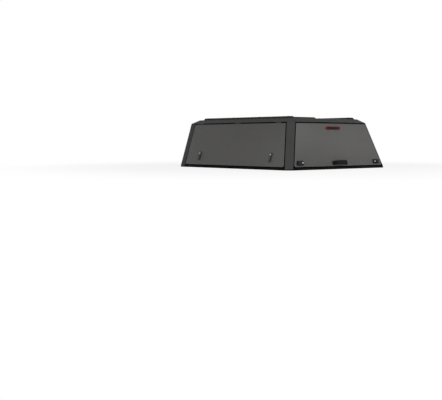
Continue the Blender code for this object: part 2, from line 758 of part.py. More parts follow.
# A door skin: a flat face with its edges folded back, and half of each hinge
def build_door_skin(word, plane, gap_line, hinge_margin):
    outline = rounded(inset(gap_line, DOOR_GAP / 2), DOOR_CORNER_RADIUS)
    mesh_data = bmesh.new()
    face_ring = [mesh_data.verts.new(point) for point in plane.outline(outline)]
    back_ring = [mesh_data.verts.new(point) for point in plane.outline(outline, -DOOR_DEPTH)]
    face = mesh_data.faces.new(face_ring)
    for index in range(len(outline)):
        other = (index + 1) % len(outline)
        mesh_data.faces.new((face_ring[other], face_ring[index], back_ring[index], back_ring[other]))
    mesh_data.normal_update()
    if face.normal.dot(plane.outward) < 0:
        bmesh.ops.reverse_faces(mesh_data, faces=mesh_data.faces)
    pivot = door_pivot(plane, gap_line)
    skin = place_as_drawn(f"{word}_door_skin", mesh_data, "door_paint", pivot)
    thicken(skin, SHEET)
    axis = plane.at(0, gap_line[2][1])
    spans = outer_spans(hinge_centres(gap_line, hinge_margin))
    reach = DOOR_GAP / 2 + HINGE_LEAF_LAP
    shapes = knuckles(axis, plane.across, plane.outward, -plane.up, spans, reach)
    fuse(skin, shapes, f"{word}_door_skin_knuckles")


def door_pivot(plane, gap_line):
    middle = (gap_line[2][0] + gap_line[3][0]) / 2
    return plane.at(middle, gap_line[2][1])


# The pressed panel that closes the back of a door: a flat rim with a pan sunk into each bay
def build_door_inner(word, plane, gap_line, bays):
    corners = [Vector(corner) for corner in inset(gap_line, DOOR_GAP / 2 + SHEET + FIT)]
    outline = rounded(corners, DOOR_CORNER_RADIUS)
    rims = [plane.outline(outline, -DOOR_DEPTH)]
    floors = []
    for index in range(bays):
        start = index / bays
        end = (index + 1) / bays
        bay = [
            corners[0].lerp(corners[1], start),
            corners[0].lerp(corners[1], end),
            corners[3].lerp(corners[2], end),
            corners[3].lerp(corners[2], start),
        ]
        rim = inset(bay, INNER_RIM)
        floor = inset(rim, INNER_PRESS_SLOPE)
        rims.append(plane.outline(rounded(rim, INNER_PAN_RADIUS), -DOOR_DEPTH))
        floor_radius = INNER_PAN_RADIUS - INNER_PRESS_SLOPE
        floors.append(plane.outline(rounded(floor, floor_radius), INNER_PRESS_DEPTH - DOOR_DEPTH))
    mesh_data = bmesh.new()
    rim_corners = [[mesh_data.verts.new(point) for point in loop] for loop in rims]
    flat = sum(rim_corners, [])
    for triangle in tessellate_polygon(rims):
        mesh_data.faces.new([flat[index] for index in triangle])
    for rim, floor in zip(rim_corners[1:], floors):
        floor_corners = [mesh_data.verts.new(point) for point in floor]
        mesh_data.faces.new(floor_corners)
        for index in range(len(rim)):
            other = (index + 1) % len(rim)
            mesh_data.faces.new((rim[index], rim[other], floor_corners[other], floor_corners[index]))
    bmesh.ops.recalc_face_normals(mesh_data, faces=mesh_data.faces)
    copied = bmesh.ops.extrude_face_region(mesh_data, geom=mesh_data.faces[:])
    moved = [item for item in copied["geom"] if isinstance(item, bmesh.types.BMVert)]
    bmesh.ops.translate(mesh_data, verts=moved, vec=plane.outward * SHEET)
    place(f"{word}_door_inner", mesh_data, "inner_paint", door_pivot(plane, gap_line))


# Side profile of a latch lever in its own up and outward directions, round at its pivot
def lever_profile(length, thickness, foot):
    radius = thickness / 2
    angles = [math.pi * step / LEVER_STEPS for step in range(LEVER_STEPS, -1, -1)]
    head = [(radius * math.sin(angle), radius * math.cos(angle)) for angle in angles]
    return head + [(-length + foot, LEVER_NECK_RISE), (-length, LEVER_LIP_RISE), (-length, -LEVER_LIP_DROP)]


def build_lever(name, plane, pivot_v, width, length, foot):
    lift = LATCH_PLATE + FIT + LATCH_RUNNING_GAP + LEVER_THICKNESS / 2
    profile = lever_profile(length, LEVER_THICKNESS, foot)
    start = [plane.at(-width / 2, pivot_v + v, lift + n) for v, n in profile]
    lever = place(name, slab(start, plane.across * width), "black_trim", plane.at(0, pivot_v, lift))
    edge = lever.modifiers.new("edge", "BEVEL")
    edge.width = LEVER_EDGE
    edge.segments = 2
    edge.limit_method = "ANGLE"
    edge.angle_limit = math.radians(50)


# Ears on a latch plate, on each side of the lever's pivot
def lever_ears(plane, pivot_v, width):
    lift = LATCH_PLATE + FIT + LATCH_RUNNING_GAP + LEVER_THICKNESS / 2
    radius = LEVER_THICKNESS / 2
    mesh_data = bmesh.new()
    angles = [math.pi * step / LEVER_STEPS for step in range(LEVER_STEPS + 1)]
    outline = [(radius * math.cos(angle), lift + radius * math.sin(angle)) for angle in angles]
    outline += [(-radius, LATCH_PLATE / 2), (radius, LATCH_PLATE / 2)]
    for start in (width / 2 + LEVER_SIDE_PLAY, -width / 2 - LEVER_SIDE_PLAY - LATCH_EAR):
        points = [plane.at(start, pivot_v + v, n) for v, n in outline]
        slab(points, plane.across * LATCH_EAR, mesh_data=mesh_data)
    return mesh_data


def build_side_latch(word, place_word, plane, u):
    local = plane.moved(u, SIDE_LATCH_LEVEL)
    outline = rounded(rectangle(SIDE_LATCH_WIDTH, SIDE_LATCH_LENGTH), SIDE_LATCH_RADIUS)
    plate = slab(local.outline(outline, FIT), local.outward * LATCH_PLATE)
    name = f"{word}_door_{place_word}_latch"
    made = place(f"{name}_plate", plate, "black_trim")
    barrel_v = SIDE_LATCH_LENGTH / 2 - SIDE_KEY_DROP
    barrel = circle(LATCH_CYLINDER_RADIUS, LATCH_CYLINDER_SIDES, 0, barrel_v)
    shapes = slab(local.outline(barrel, LATCH_PLATE / 2), local.outward * LATCH_CYLINDER_HEIGHT)
    fuse(made, shapes, f"{name}_key_barrel")
    pivot_v = barrel_v - LATCH_CYLINDER_RADIUS - LEVER_THICKNESS
    fuse(made, lever_ears(local, pivot_v, LEVER_WIDTH), f"{name}_ears")
    length = pivot_v + SIDE_LATCH_LENGTH / 2 - LATCH_CYLINDER_RADIUS / 2
    build_lever(f"{name}_lever", local, pivot_v, LEVER_WIDTH, length, LEVER_FOOT)


def rear_latch_outline(side):
    half_length = REAR_LATCH_LENGTH / 2
    half_height = REAR_LATCH_HEIGHT / 2
    slant = half_height * math.tan(SIDE_LEAN)
    return [
        (side * -half_length, -half_height),
        (side * (half_length + slant), -half_height),
        (side * (half_length - slant), half_height),
        (side * -half_length, half_height),
    ][:: side]


def build_rear_latch(side, word, plane, gap_line):
    edge = gap_line[1][0] - REAR_LATCH_LEVEL * math.tan(SIDE_LEAN) - DOOR_GAP / 2
    middle = side * (edge - REAR_LATCH_MARGIN - REAR_LATCH_LENGTH / 2)
    local = plane.moved(middle, REAR_LATCH_LEVEL)
    outline = rounded(rear_latch_outline(side), REAR_LATCH_RADIUS)
    plate = slab(local.outline(outline, FIT), local.outward * LATCH_PLATE)
    name = f"rear_door_{word}_latch"
    made = place(f"{name}_plate", plate, "black_trim")
    barrel_u = side * (-REAR_LATCH_LENGTH / 2 + REAR_LATCH_HEIGHT / 2)
    barrel = circle(LATCH_CYLINDER_RADIUS, LATCH_CYLINDER_SIDES, barrel_u, 0)
    shapes = slab(local.outline(barrel, LATCH_PLATE / 2), local.outward * LATCH_CYLINDER_HEIGHT)
    fuse(made, shapes, f"{name}_key_barrel")
    lever_u = side * (REAR_LATCH_LENGTH - REAR_LATCH_HEIGHT) / 4
    lever_plane = local.moved(lever_u, 0)
    pivot_v = REAR_LATCH_HEIGHT / 2 - LEVER_THICKNESS
    fuse(made, lever_ears(lever_plane, pivot_v, REAR_LEVER_WIDTH), f"{name}_ears")
    length = pivot_v + REAR_LATCH_HEIGHT / 2 - LATCH_RUNNING_GAP
    build_lever(f"{name}_lever", lever_plane, pivot_v, REAR_LEVER_WIDTH, length, LEVER_FOOT)


# Rounds the inner corners of an open path with arcs
def bent_path(points, radius, steps=5):
    path = [points[0]]
    for before, corner, after in zip(points, points[1:], points[2:]):
        back = (before - corner).normalized()
        ahead = (after - corner).normalized()
        half = back.angle(ahead) / 2
        centre = corner + (back + ahead).normalized() * radius / math.sin(half)
        start = corner + back * radius / math.tan(half) - centre
        end = corner + ahead * radius / math.tan(half) - centre
        for step in range(steps + 1):
            path.append(centre + start.lerp(end, step / steps).normalized() * radius)
    return path + [points[-1]]


# A strap handle: a broad flat band bent out from the door, for fingers to pass behind
def build_pull_handle(plane):
    feet = [(-HANDLE_FOOT_HALF_SPAN, FIT), (HANDLE_FOOT_HALF_SPAN, FIT)]
    grip = [(GRIP_HALF_LENGTH, GRIP_STANDOFF), (-GRIP_HALF_LENGTH, GRIP_STANDOFF)]
    outer = feet + grip
    inner = inset(outer, [0, GRIP_THICKNESS, GRIP_THICKNESS, GRIP_THICKNESS])
    lines = []
    for corners, bend in ((outer, HANDLE_BEND), (inner, HANDLE_BEND - GRIP_THICKNESS)):
        lines.append(bent_path([Vector(corner) for corner in corners[1:] + corners[:1]], bend))
    low = GRIP_LEVEL - GRIP_WIDTH / 2
    profile = [plane.at(u, low, n) for u, n in lines[0] + lines[1][::-1]]
    strap = slab(profile, plane.up * GRIP_WIDTH)
    handle = place("rear_pull_handle", strap, "black_trim", smooth_angle=math.radians(30))
    edge = handle.modifiers.new("edge", "BEVEL")
    edge.width = GRIP_EDGE
    edge.segments = 2
    edge.limit_method = "ANGLE"


# A pill-shaped brake light: a lens within a moulded red rim
def build_brake_light(plane):
    def pill(length, height):
        radius = height / 2
        reach = length / 2 - radius
        angles = [math.pi * step / LIGHT_END_STEPS - math.pi / 2 for step in range(LIGHT_END_STEPS + 1)]
        arc = [(reach + radius * math.cos(angle), radius * math.sin(angle)) for angle in angles]
        return [(u, LIGHT_LEVEL + v) for u, v in arc] + [(-u, LIGHT_LEVEL - v) for u, v in arc]

    outer = plane.outline(pill(LIGHT_LENGTH, LIGHT_HEIGHT), FIT)
    rim = 2 * LIGHT_RIM
    hole = plane.outline(pill(LIGHT_LENGTH - rim, LIGHT_HEIGHT - rim), FIT)
    place("brake_light_rim", slab(outer, plane.outward * LIGHT_THICKNESS, hole), "red_lens")
    inner = 2 * (LIGHT_RIM + FIT)
    lens = plane.outline(pill(LIGHT_LENGTH - inner, LIGHT_HEIGHT - inner), FIT)
    place("brake_light_lens", slab(lens, plane.outward * LIGHT_THICKNESS), "red_lens")


def main():
    clear_scene()
    build_base_seal()
    build_rear_sill()
    build_front_base_rail()
    build_front_panel()
    build_roof()
    for index in range(ROOF_BOW_COUNT):
        build_roof_bow(index)
    gap_line = side_gap_line()
    for side, word in ((-1, "left"), (1, "right")):
        plane = side_plane(side)
        build_posts(side, word)
        build_side_base_rail(side, word)
        build_roof_rail(side, word)
        build_door_frame(word, plane, gap_line, SIDE_LEAN)
        build_side_hinge_rail(side, word, plane, gap_line)
        build_door_skin(word, plane, gap_line, SIDE_HINGE_MARGIN)
        build_door_inner(word, plane, gap_line, SIDE_DOOR_BAYS)
        latch_inset = DOOR_GAP / 2 + SIDE_LATCH_MARGIN
        build_side_latch(word, "rear", plane, gap_line[0][0] + latch_inset)
        build_side_latch(word, "front", plane, gap_line[1][0] - latch_inset)
    plane = rear_plane()
    gap_line = rear_gap_line()
    build_door_frame("rear", plane, gap_line, REAR_LEAN)
    build_rear_hinge_rail(plane, gap_line)
    build_door_skin("rear", plane, gap_line, REAR_HINGE_MARGIN)
    build_door_inner("rear", plane, gap_line, REAR_DOOR_BAYS)
    for side, word in ((-1, "left"), (1, "right")):
        build_rear_latch(side, word, plane, gap_line)
    build_pull_handle(plane)
    build_brake_light(plane)


main()
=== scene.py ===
import json
import math

import bmesh
import bpy
from mathutils import Matrix, Vector


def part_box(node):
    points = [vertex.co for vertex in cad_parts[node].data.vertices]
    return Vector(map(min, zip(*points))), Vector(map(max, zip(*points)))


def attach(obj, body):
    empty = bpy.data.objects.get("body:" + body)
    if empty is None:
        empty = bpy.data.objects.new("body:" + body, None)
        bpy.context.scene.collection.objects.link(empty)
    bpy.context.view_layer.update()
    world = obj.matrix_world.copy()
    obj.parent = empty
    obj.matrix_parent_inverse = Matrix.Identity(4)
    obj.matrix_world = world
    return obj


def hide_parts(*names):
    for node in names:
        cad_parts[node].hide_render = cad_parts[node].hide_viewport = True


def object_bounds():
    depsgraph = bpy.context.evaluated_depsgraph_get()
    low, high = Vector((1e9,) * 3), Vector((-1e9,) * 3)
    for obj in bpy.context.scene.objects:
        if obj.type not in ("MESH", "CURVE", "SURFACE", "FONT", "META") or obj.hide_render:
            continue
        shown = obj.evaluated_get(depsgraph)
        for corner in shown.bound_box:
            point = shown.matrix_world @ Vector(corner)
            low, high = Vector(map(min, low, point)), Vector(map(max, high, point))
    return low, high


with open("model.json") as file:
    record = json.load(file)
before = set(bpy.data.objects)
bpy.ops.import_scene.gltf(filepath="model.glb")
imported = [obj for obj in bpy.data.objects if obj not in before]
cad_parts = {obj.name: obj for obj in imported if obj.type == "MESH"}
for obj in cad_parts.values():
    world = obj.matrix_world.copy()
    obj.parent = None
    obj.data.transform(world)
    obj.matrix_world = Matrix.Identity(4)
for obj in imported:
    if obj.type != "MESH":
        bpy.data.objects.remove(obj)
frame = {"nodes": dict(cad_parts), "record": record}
cadBounds = [list(corner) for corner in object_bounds()]
cadNodes = frame["nodes"]
print("frame loaded:", len(cadNodes), "nodes")


def newGroup(name, inputs, outputs):
    group = bpy.data.node_groups.new(name, "ShaderNodeTree")
    for label, kind, value in inputs:
        socket = group.interface.new_socket(name=label, in_out="INPUT", socket_type=kind)
        socket.default_value = value
    for label, kind in outputs:
        group.interface.new_socket(name=label, in_out="OUTPUT", socket_type=kind)
    return group, group.nodes.new("NodeGroupInput"), group.nodes.new("NodeGroupOutput")


def addNode(tree, kind, **settings):
    node = tree.nodes.new(kind)
    for key, value in settings.items():
        setattr(node, key, value)
    return node


def setInputs(node, **values):
    for key, value in values.items():
        node.inputs[key.replace("_", " ")].default_value = value
    return node


# the mix node's sockets 6, 7 and its output 2 are those for colours
def mixColours(tree, factor, first, second):
    node = addNode(tree, "ShaderNodeMix", data_type="RGBA")
    for socket, source in ((node.inputs[0], factor), (node.inputs[6], first), (node.inputs[7], second)):
        if hasattr(source, "is_output"):
            tree.links.new(source, socket)
        else:
            socket.default_value = source
    return node.outputs[2]


def mathNode(tree, operation, first, second=0.0, clamp=False):
    node = addNode(tree, "ShaderNodeMath", operation=operation, use_clamp=clamp)
    for socket, source in ((node.inputs[0], first), (node.inputs[1], second)):
        if hasattr(source, "is_output"):
            tree.links.new(source, socket)
        else:
            socket.default_value = source
    return node.outputs[0]


def mapRange(tree, value, low, high, toLow=0.0, toHigh=1.0):
    node = addNode(tree, "ShaderNodeMapRange", interpolation_type="SMOOTHSTEP")
    tree.links.new(value, node.inputs[0])
    for index, number in enumerate((low, high, toLow, toHigh)):
        node.inputs[index + 1].default_value = number
    return node.outputs[0]


noiseMiddle = 0.5
smearFinerBy = 3.1  # smears are this much finer than the mottling


# the mottling, gloss variation and fine bumps of a sprayed or moulded surface
def makeCoatingGroup():
    group, source, result = newGroup(
        "coating",
        [
            ("Colour", "NodeSocketColor", (0.1, 0.1, 0.1, 1)),
            ("Mottle", "NodeSocketFloat", 0.05),
            ("Mottle Scale", "NodeSocketFloat", 6.0),
            ("Gloss Base", "NodeSocketFloat", 0.4),
            ("Gloss Spread", "NodeSocketFloat", 0.05),
            ("Grain Scale", "NodeSocketFloat", 900.0),
            ("Speckle", "NodeSocketFloat", 0.03),
        ],
        [("Colour", "NodeSocketColor"), ("Roughness", "NodeSocketFloat"), ("Height", "NodeSocketFloat")],
    )
    links = group.links
    place = addNode(group, "ShaderNodeTexCoord")
    broad = setInputs(addNode(group, "ShaderNodeTexNoise"), Detail=3.0, Roughness=0.55)
    grain = setInputs(addNode(group, "ShaderNodeTexNoise"), Detail=2.0, Roughness=0.5)
    smear = setInputs(addNode(group, "ShaderNodeTexNoise"), Detail=4.0, Roughness=0.6, Distortion=0.4)
    for node in (broad, grain, smear):
        links.new(place.outputs["Object"], node.inputs["Vector"])
    links.new(source.outputs["Mottle Scale"], broad.inputs["Scale"])
    links.new(mathNode(group, "MULTIPLY", source.outputs["Mottle Scale"], smearFinerBy), smear.inputs["Scale"])
    links.new(source.outputs["Grain Scale"], grain.inputs["Scale"])

    def swingOf(noise, amount):
        offset = mathNode(group, "SUBTRACT", noise.outputs[0], noiseMiddle)
        return mathNode(group, "MULTIPLY", offset, source.outputs[amount])

    sway, dots = swingOf(broad, "Mottle"), swingOf(grain, "Speckle")
    factor = mathNode(group, "ADD", mathNode(group, "ADD", sway, dots), 1.0)
    scaled = addNode(group, "ShaderNodeVectorMath", operation="SCALE")
    links.new(source.outputs["Colour"], scaled.inputs[0])
    links.new(factor, scaled.inputs["Scale"])
    links.new(scaled.outputs[0], result.inputs["Colour"])
    gloss = mathNode(group, "ADD", source.outputs["Gloss Base"], swingOf(smear, "Gloss Spread"), clamp=True)
    links.new(gloss, result.inputs["Roughness"])
    links.new(grain.outputs[0], result.inputs["Height"])
    return group


edgeLook = {"radius": 0.0016, "samples": 4, "flat": 0.999, "turned": 0.90, "tornFrom": 0.42, "tornTo": 0.66}


# where a surface turns over an edge, thinned by noise so that it breaks up
def makeWearGroup():
    group, source, result = newGroup(
        "edgeWear",
        [("Amount", "NodeSocketFloat", 0.5), ("Breakup Scale", "NodeSocketFloat", 60.0)],
        [("Mask", "NodeSocketFloat")],
    )
    links = group.links
    rounded = setInputs(addNode(group, "ShaderNodeBevel", samples=edgeLook["samples"]), Radius=edgeLook["radius"])
    surface = addNode(group, "ShaderNodeNewGeometry")
    facing = addNode(group, "ShaderNodeVectorMath", operation="DOT_PRODUCT")
    links.new(rounded.outputs[0], facing.inputs[0])
    links.new(surface.outputs["Normal"], facing.inputs[1])
    turned = mapRange(group, facing.outputs["Value"], edgeLook["flat"], edgeLook["turned"])
    place = addNode(group, "ShaderNodeTexCoord")
    breakup = setInputs(addNode(group, "ShaderNodeTexNoise"), Detail=5.0, Roughness=0.65)
    links.new(place.outputs["Object"], breakup.inputs["Vector"])
    links.new(source.outputs["Breakup Scale"], breakup.inputs["Scale"])
    torn = mapRange(group, breakup.outputs[0], edgeLook["tornFrom"], edgeLook["tornTo"])
    mask = mathNode(group, "MULTIPLY", mathNode(group, "MULTIPLY", turned, torn), source.outputs["Amount"])
    links.new(mask, result.inputs["Mask"])
    return group


dustLook = {"tiltFrom": 0.15, "tiltTo": 1.0, "patchFrom": 0.35, "patchTo": 0.75, "thinnest": 0.35, "dulls": 0.5}


# a thin film of dust that settles on faces turned upwards and gathers in patches
def makeDustGroup():
    group, source, result = newGroup(
        "settledDust",
        [("Amount", "NodeSocketFloat", 0.1), ("Patch Scale", "NodeSocketFloat", 9.0)],
        [("Mask", "NodeSocketFloat")],
    )
    links = group.links
    place = addNode(group, "ShaderNodeTexCoord")
    split = addNode(group, "ShaderNodeSeparateXYZ")
    links.new(place.outputs["Normal"], split.inputs[0])
    upward = mapRange(group, split.outputs["Z"], dustLook["tiltFrom"], dustLook["tiltTo"])
    patches = setInputs(addNode(group, "ShaderNodeTexNoise"), Detail=6.0, Roughness=0.7)
    links.new(place.outputs["Object"], patches.inputs["Vector"])
    links.new(source.outputs["Patch Scale"], patches.inputs["Scale"])
    patchFrom, patchTo = dustLook["patchFrom"], dustLook["patchTo"]
    spread = mapRange(group, patches.outputs[0], patchFrom, patchTo, dustLook["thinnest"], 1.0)
    mask = mathNode(group, "MULTIPLY", mathNode(group, "MULTIPLY", upward, spread), source.outputs["Amount"])
    links.new(mask, result.inputs["Mask"])
    return group


coatingGroup = makeCoatingGroup()
wearGroup = makeWearGroup()
dustGroup = makeDustGroup()


def useGroup(tree, group, **values):
    node = addNode(tree, "ShaderNodeGroup", node_tree=group)
    return setInputs(node, **values)


# a coated surface: colour, gloss and bump from the groups, each with its own values
def makeCoatedMaterial(name, look):
    made = bpy.data.materials.new(name)
    made.use_nodes = True
    tree = made.node_tree
    shader = tree.nodes["Principled BSDF"]
    coating = useGroup(
        tree, coatingGroup, Colour=(*look["colour"], 1), Mottle=look["mottle"], Mottle_Scale=look["mottleScale"],
        Gloss_Base=look["roughness"], Gloss_Spread=look["glossSpread"], Grain_Scale=look["grainScale"],
        Speckle=look["speckle"],
    )
    wear = useGroup(tree, wearGroup, Amount=look["wear"], Breakup_Scale=look["wearScale"])
    dust = useGroup(tree, dustGroup, Amount=look["dust"], Patch_Scale=look["dustScale"])
    worn = mixColours(tree, wear.outputs["Mask"], coating.outputs["Colour"], (*look["wornColour"], 1))
    dusty = mixColours(tree, dust.outputs["Mask"], worn, (*look["dustColour"], 1))
    tree.links.new(dusty, shader.inputs["Base Color"])
    dulled = mathNode(tree, "MULTIPLY", dust.outputs["Mask"], dustLook["dulls"])
    rough = mathNode(tree, "ADD", coating.outputs["Roughness"], dulled, clamp=True)
    tree.links.new(rough, shader.inputs["Roughness"])
    bump = setInputs(addNode(tree, "ShaderNodeBump"), Strength=look["bump"], Distance=look["bumpDepth"])
    tree.links.new(coating.outputs["Height"], bump.inputs["Height"])
    tree.links.new(bump.outputs[0], shader.inputs["Normal"])
    shader.inputs["Metallic"].default_value = look["metallic"]
    shader.inputs["Specular IOR Level"].default_value = look["specular"]
    return made


doorPaintLook = {
    "colour": (0.0965, 0.0950, 0.0930), "mottle": 0.08, "mottleScale": 2.4, "roughness": 0.46, "glossSpread": 0.10,
    "grainScale": 950.0, "speckle": 0.10, "bump": 0.14, "bumpDepth": 0.0006, "specular": 0.36, "metallic": 0.0,
    "wear": 0.25, "wearScale": 55.0, "wornColour": (0.17, 0.168, 0.165),
    "dust": 0.04, "dustScale": 7.0, "dustColour": (0.18, 0.17, 0.155),
}
framePaintLook = {
    "colour": (0.0605, 0.0602, 0.0598), "mottle": 0.10, "mottleScale": 3.2, "roughness": 0.66, "glossSpread": 0.12,
    "grainScale": 620.0, "speckle": 0.28, "bump": 0.32, "bumpDepth": 0.0009, "specular": 0.20, "metallic": 0.0,
    "wear": 0.25, "wearScale": 48.0, "wornColour": (0.10, 0.098, 0.095),
    "dust": 0.05, "dustScale": 6.0, "dustColour": (0.13, 0.125, 0.115),
}
# partly the near-black paint of the inner faces, sills and base rails, partly painted shade: darkened to stand in
# for the shade in the gaps and under the doors
innerPaintAndShadeLook = {
    "colour": (0.0062, 0.0062, 0.0064), "mottle": 0.20, "mottleScale": 5.0, "roughness": 0.74, "glossSpread": 0.14,
    "grainScale": 480.0, "speckle": 0.25, "bump": 0.30, "bumpDepth": 0.0008, "specular": 0.09, "metallic": 0.0,
    "wear": 0.20, "wearScale": 50.0, "wornColour": (0.022, 0.022, 0.022),
    "dust": 0.05, "dustScale": 8.0, "dustColour": (0.05, 0.047, 0.043),
}
doorLiningLook = {
    "colour": (0.024, 0.024, 0.0242), "mottle": 0.20, "mottleScale": 6.0, "roughness": 0.66, "glossSpread": 0.16,
    "grainScale": 420.0, "speckle": 0.30, "bump": 0.30, "bumpDepth": 0.0006, "specular": 0.18, "metallic": 0.0,
    "wear": 0.25, "wearScale": 60.0, "wornColour": (0.060, 0.060, 0.059),
    "dust": 0.05, "dustScale": 8.0, "dustColour": (0.07, 0.066, 0.06),
}
blackTrimLook = {
    "colour": (0.0082, 0.0082, 0.0085), "mottle": 0.15, "mottleScale": 30.0, "roughness": 0.52, "glossSpread": 0.16,
    "grainScale": 1500.0, "speckle": 0.30, "bump": 0.30, "bumpDepth": 0.0004, "specular": 0.22, "metallic": 0.0,
    "wear": 0.30, "wearScale": 140.0, "wornColour": (0.030, 0.030, 0.030),
    "dust": 0.04, "dustScale": 30.0, "dustColour": (0.06, 0.057, 0.053),
}
railPaintLook = {
    "colour": (0.0360, 0.0357, 0.0354), "mottle": 0.10, "mottleScale": 3.2, "roughness": 0.68, "glossSpread": 0.12,
    "grainScale": 620.0, "speckle": 0.28, "bump": 0.32, "bumpDepth": 0.0009, "specular": 0.18, "metallic": 0.0,
    "wear": 0.25, "wearScale": 48.0, "wornColour": (0.08, 0.079, 0.077),
    "dust": 0.05, "dustScale": 6.0, "dustColour": (0.11, 0.105, 0.098),
}
latchTrimLook = {
    "colour": (0.062, 0.0615, 0.0608), "mottle": 0.15, "mottleScale": 30.0, "roughness": 0.50, "glossSpread": 0.16,
    "grainScale": 1500.0, "speckle": 0.30, "bump": 0.30, "bumpDepth": 0.0004, "specular": 0.30, "metallic": 0.0,
    "wear": 0.30, "wearScale": 140.0, "wornColour": (0.11, 0.109, 0.107),
    "dust": 0.04, "dustScale": 30.0, "dustColour": (0.10, 0.097, 0.092),
}
# the pull handle's black plastic, made darker than the other black trim: partly painted shade for the hollow behind
# the grip and the shade beneath it
strapTrimAndShadeLook = {
    "colour": (0.0040, 0.0040, 0.0042), "mottle": 0.15, "mottleScale": 24.0, "roughness": 0.60, "glossSpread": 0.16,
    "grainScale": 1500.0, "speckle": 0.30, "bump": 0.30, "bumpDepth": 0.0004, "specular": 0.14, "metallic": 0.0,
    "wear": 0.25, "wearScale": 140.0, "wornColour": (0.020, 0.020, 0.020),
    "dust": 0.03, "dustScale": 30.0, "dustColour": (0.04, 0.038, 0.035),
}
sealRubberLook = {
    "colour": (0.0050, 0.0050, 0.0052), "mottle": 0.25, "mottleScale": 18.0, "roughness": 0.82, "glossSpread": 0.12,
    "grainScale": 1100.0, "speckle": 0.40, "bump": 0.45, "bumpDepth": 0.0006, "specular": 0.10, "metallic": 0.0,
    "wear": 0.15, "wearScale": 90.0, "wornColour": (0.018, 0.018, 0.018),
    "dust": 0.06, "dustScale": 16.0, "dustColour": (0.03, 0.029, 0.027),
}
lockSteelLook = {
    "colour": (0.82, 0.815, 0.805), "mottle": 0.10, "mottleScale": 90.0, "roughness": 0.34, "glossSpread": 0.16,
    "grainScale": 2200.0, "speckle": 0.12, "bump": 0.12, "bumpDepth": 0.0002, "specular": 0.5, "metallic": 1.0,
    "wear": 0.30, "wearScale": 300.0, "wornColour": (0.88, 0.88, 0.87),
    "dust": 0.02, "dustScale": 60.0, "dustColour": (0.30, 0.29, 0.28),
}
# a darker copy of the lock steel for the rear key faces: painted shade that dims their glint under the lamps
shadedRearSteelLook = {**lockSteelLook, "colour": (0.47, 0.467, 0.46), "wornColour": (0.54, 0.54, 0.53)}

materials = {
    "door_paint": makeCoatedMaterial("doorPaint", doorPaintLook),
    "frame_paint": makeCoatedMaterial("framePaint", framePaintLook),
    "inner_paint": makeCoatedMaterial("innerPaintAndShade", innerPaintAndShadeLook),
    "black_trim": makeCoatedMaterial("blackTrim", blackTrimLook),
    "seal_rubber": makeCoatedMaterial("sealRubber", sealRubberLook),
    "lock_steel": makeCoatedMaterial("lockSteel", lockSteelLook),
}
strapTrimAndShade = makeCoatedMaterial("strapTrimAndShade", strapTrimAndShadeLook)
latchTrim = makeCoatedMaterial("latchTrim", latchTrimLook)
railPaint = makeCoatedMaterial("railPaint", railPaintLook)
doorLining = makeCoatedMaterial("doorLining", doorLiningLook)
shadedRearSteel = makeCoatedMaterial("shadedRearSteel", shadedRearSteelLook)
print("coated materials made")


# tinted window glass with faint smears
glassLook = {
    "tint": (0.10, 0.115, 0.115, 1), "ior": 1.5, "roughness": 0.02,
    "smearScale": 14.0, "smearSpread": 0.05, "smearFrom": 0.45, "smearTo": 0.75,
}


def makeGlass():
    made = bpy.data.materials.new("tintedGlass")
    made.use_nodes = True
    tree = made.node_tree
    shader = tree.nodes["Principled BSDF"]
    shader.inputs["Base Color"].default_value = glassLook["tint"]
    shader.inputs["Transmission Weight"].default_value = 1.0
    shader.inputs["IOR"].default_value = glassLook["ior"]
    place = addNode(tree, "ShaderNodeTexCoord")
    smear = addNode(tree, "ShaderNodeTexNoise")
    setInputs(smear, Scale=glassLook["smearScale"], Detail=4.0, Distortion=0.8)
    tree.links.new(place.outputs["Object"], smear.inputs["Vector"])
    clean, smeared = glassLook["roughness"], glassLook["roughness"] + glassLook["smearSpread"]
    film = mapRange(tree, smear.outputs[0], glassLook["smearFrom"], glassLook["smearTo"], clean, smeared)
    tree.links.new(film, shader.inputs["Roughness"])
    return made


materials["window_glass"] = makeGlass()

# the red lens: a clear red border round a smoked middle with fine prisms, and ends painted a brighter red, a
# painted glow standing in for light reflected at the ends
lensLook = {
    # the ends colour is painted glow: a brighter red standing in for light reflected at the lens ends
    "border": (0.125, 0.005, 0.0065, 1), "middle": (0.026, 0.0078, 0.0082, 1), "ends": (0.34, 0.005, 0.006, 1),
    "borderFrom": 0.66, "borderTo": 0.76, "paintedGlowFrom": -0.010, "paintedGlowTo": 0.002,
    "prismSize": 0.0042, "prismBump": 0.20, "prismDepth": 0.0008, "prismReach": 0.5,
    "roughness": 0.30, "roughnessSpread": 0.1, "specular": 0.07, "coat": 0.04, "coatRoughness": 0.12,
}


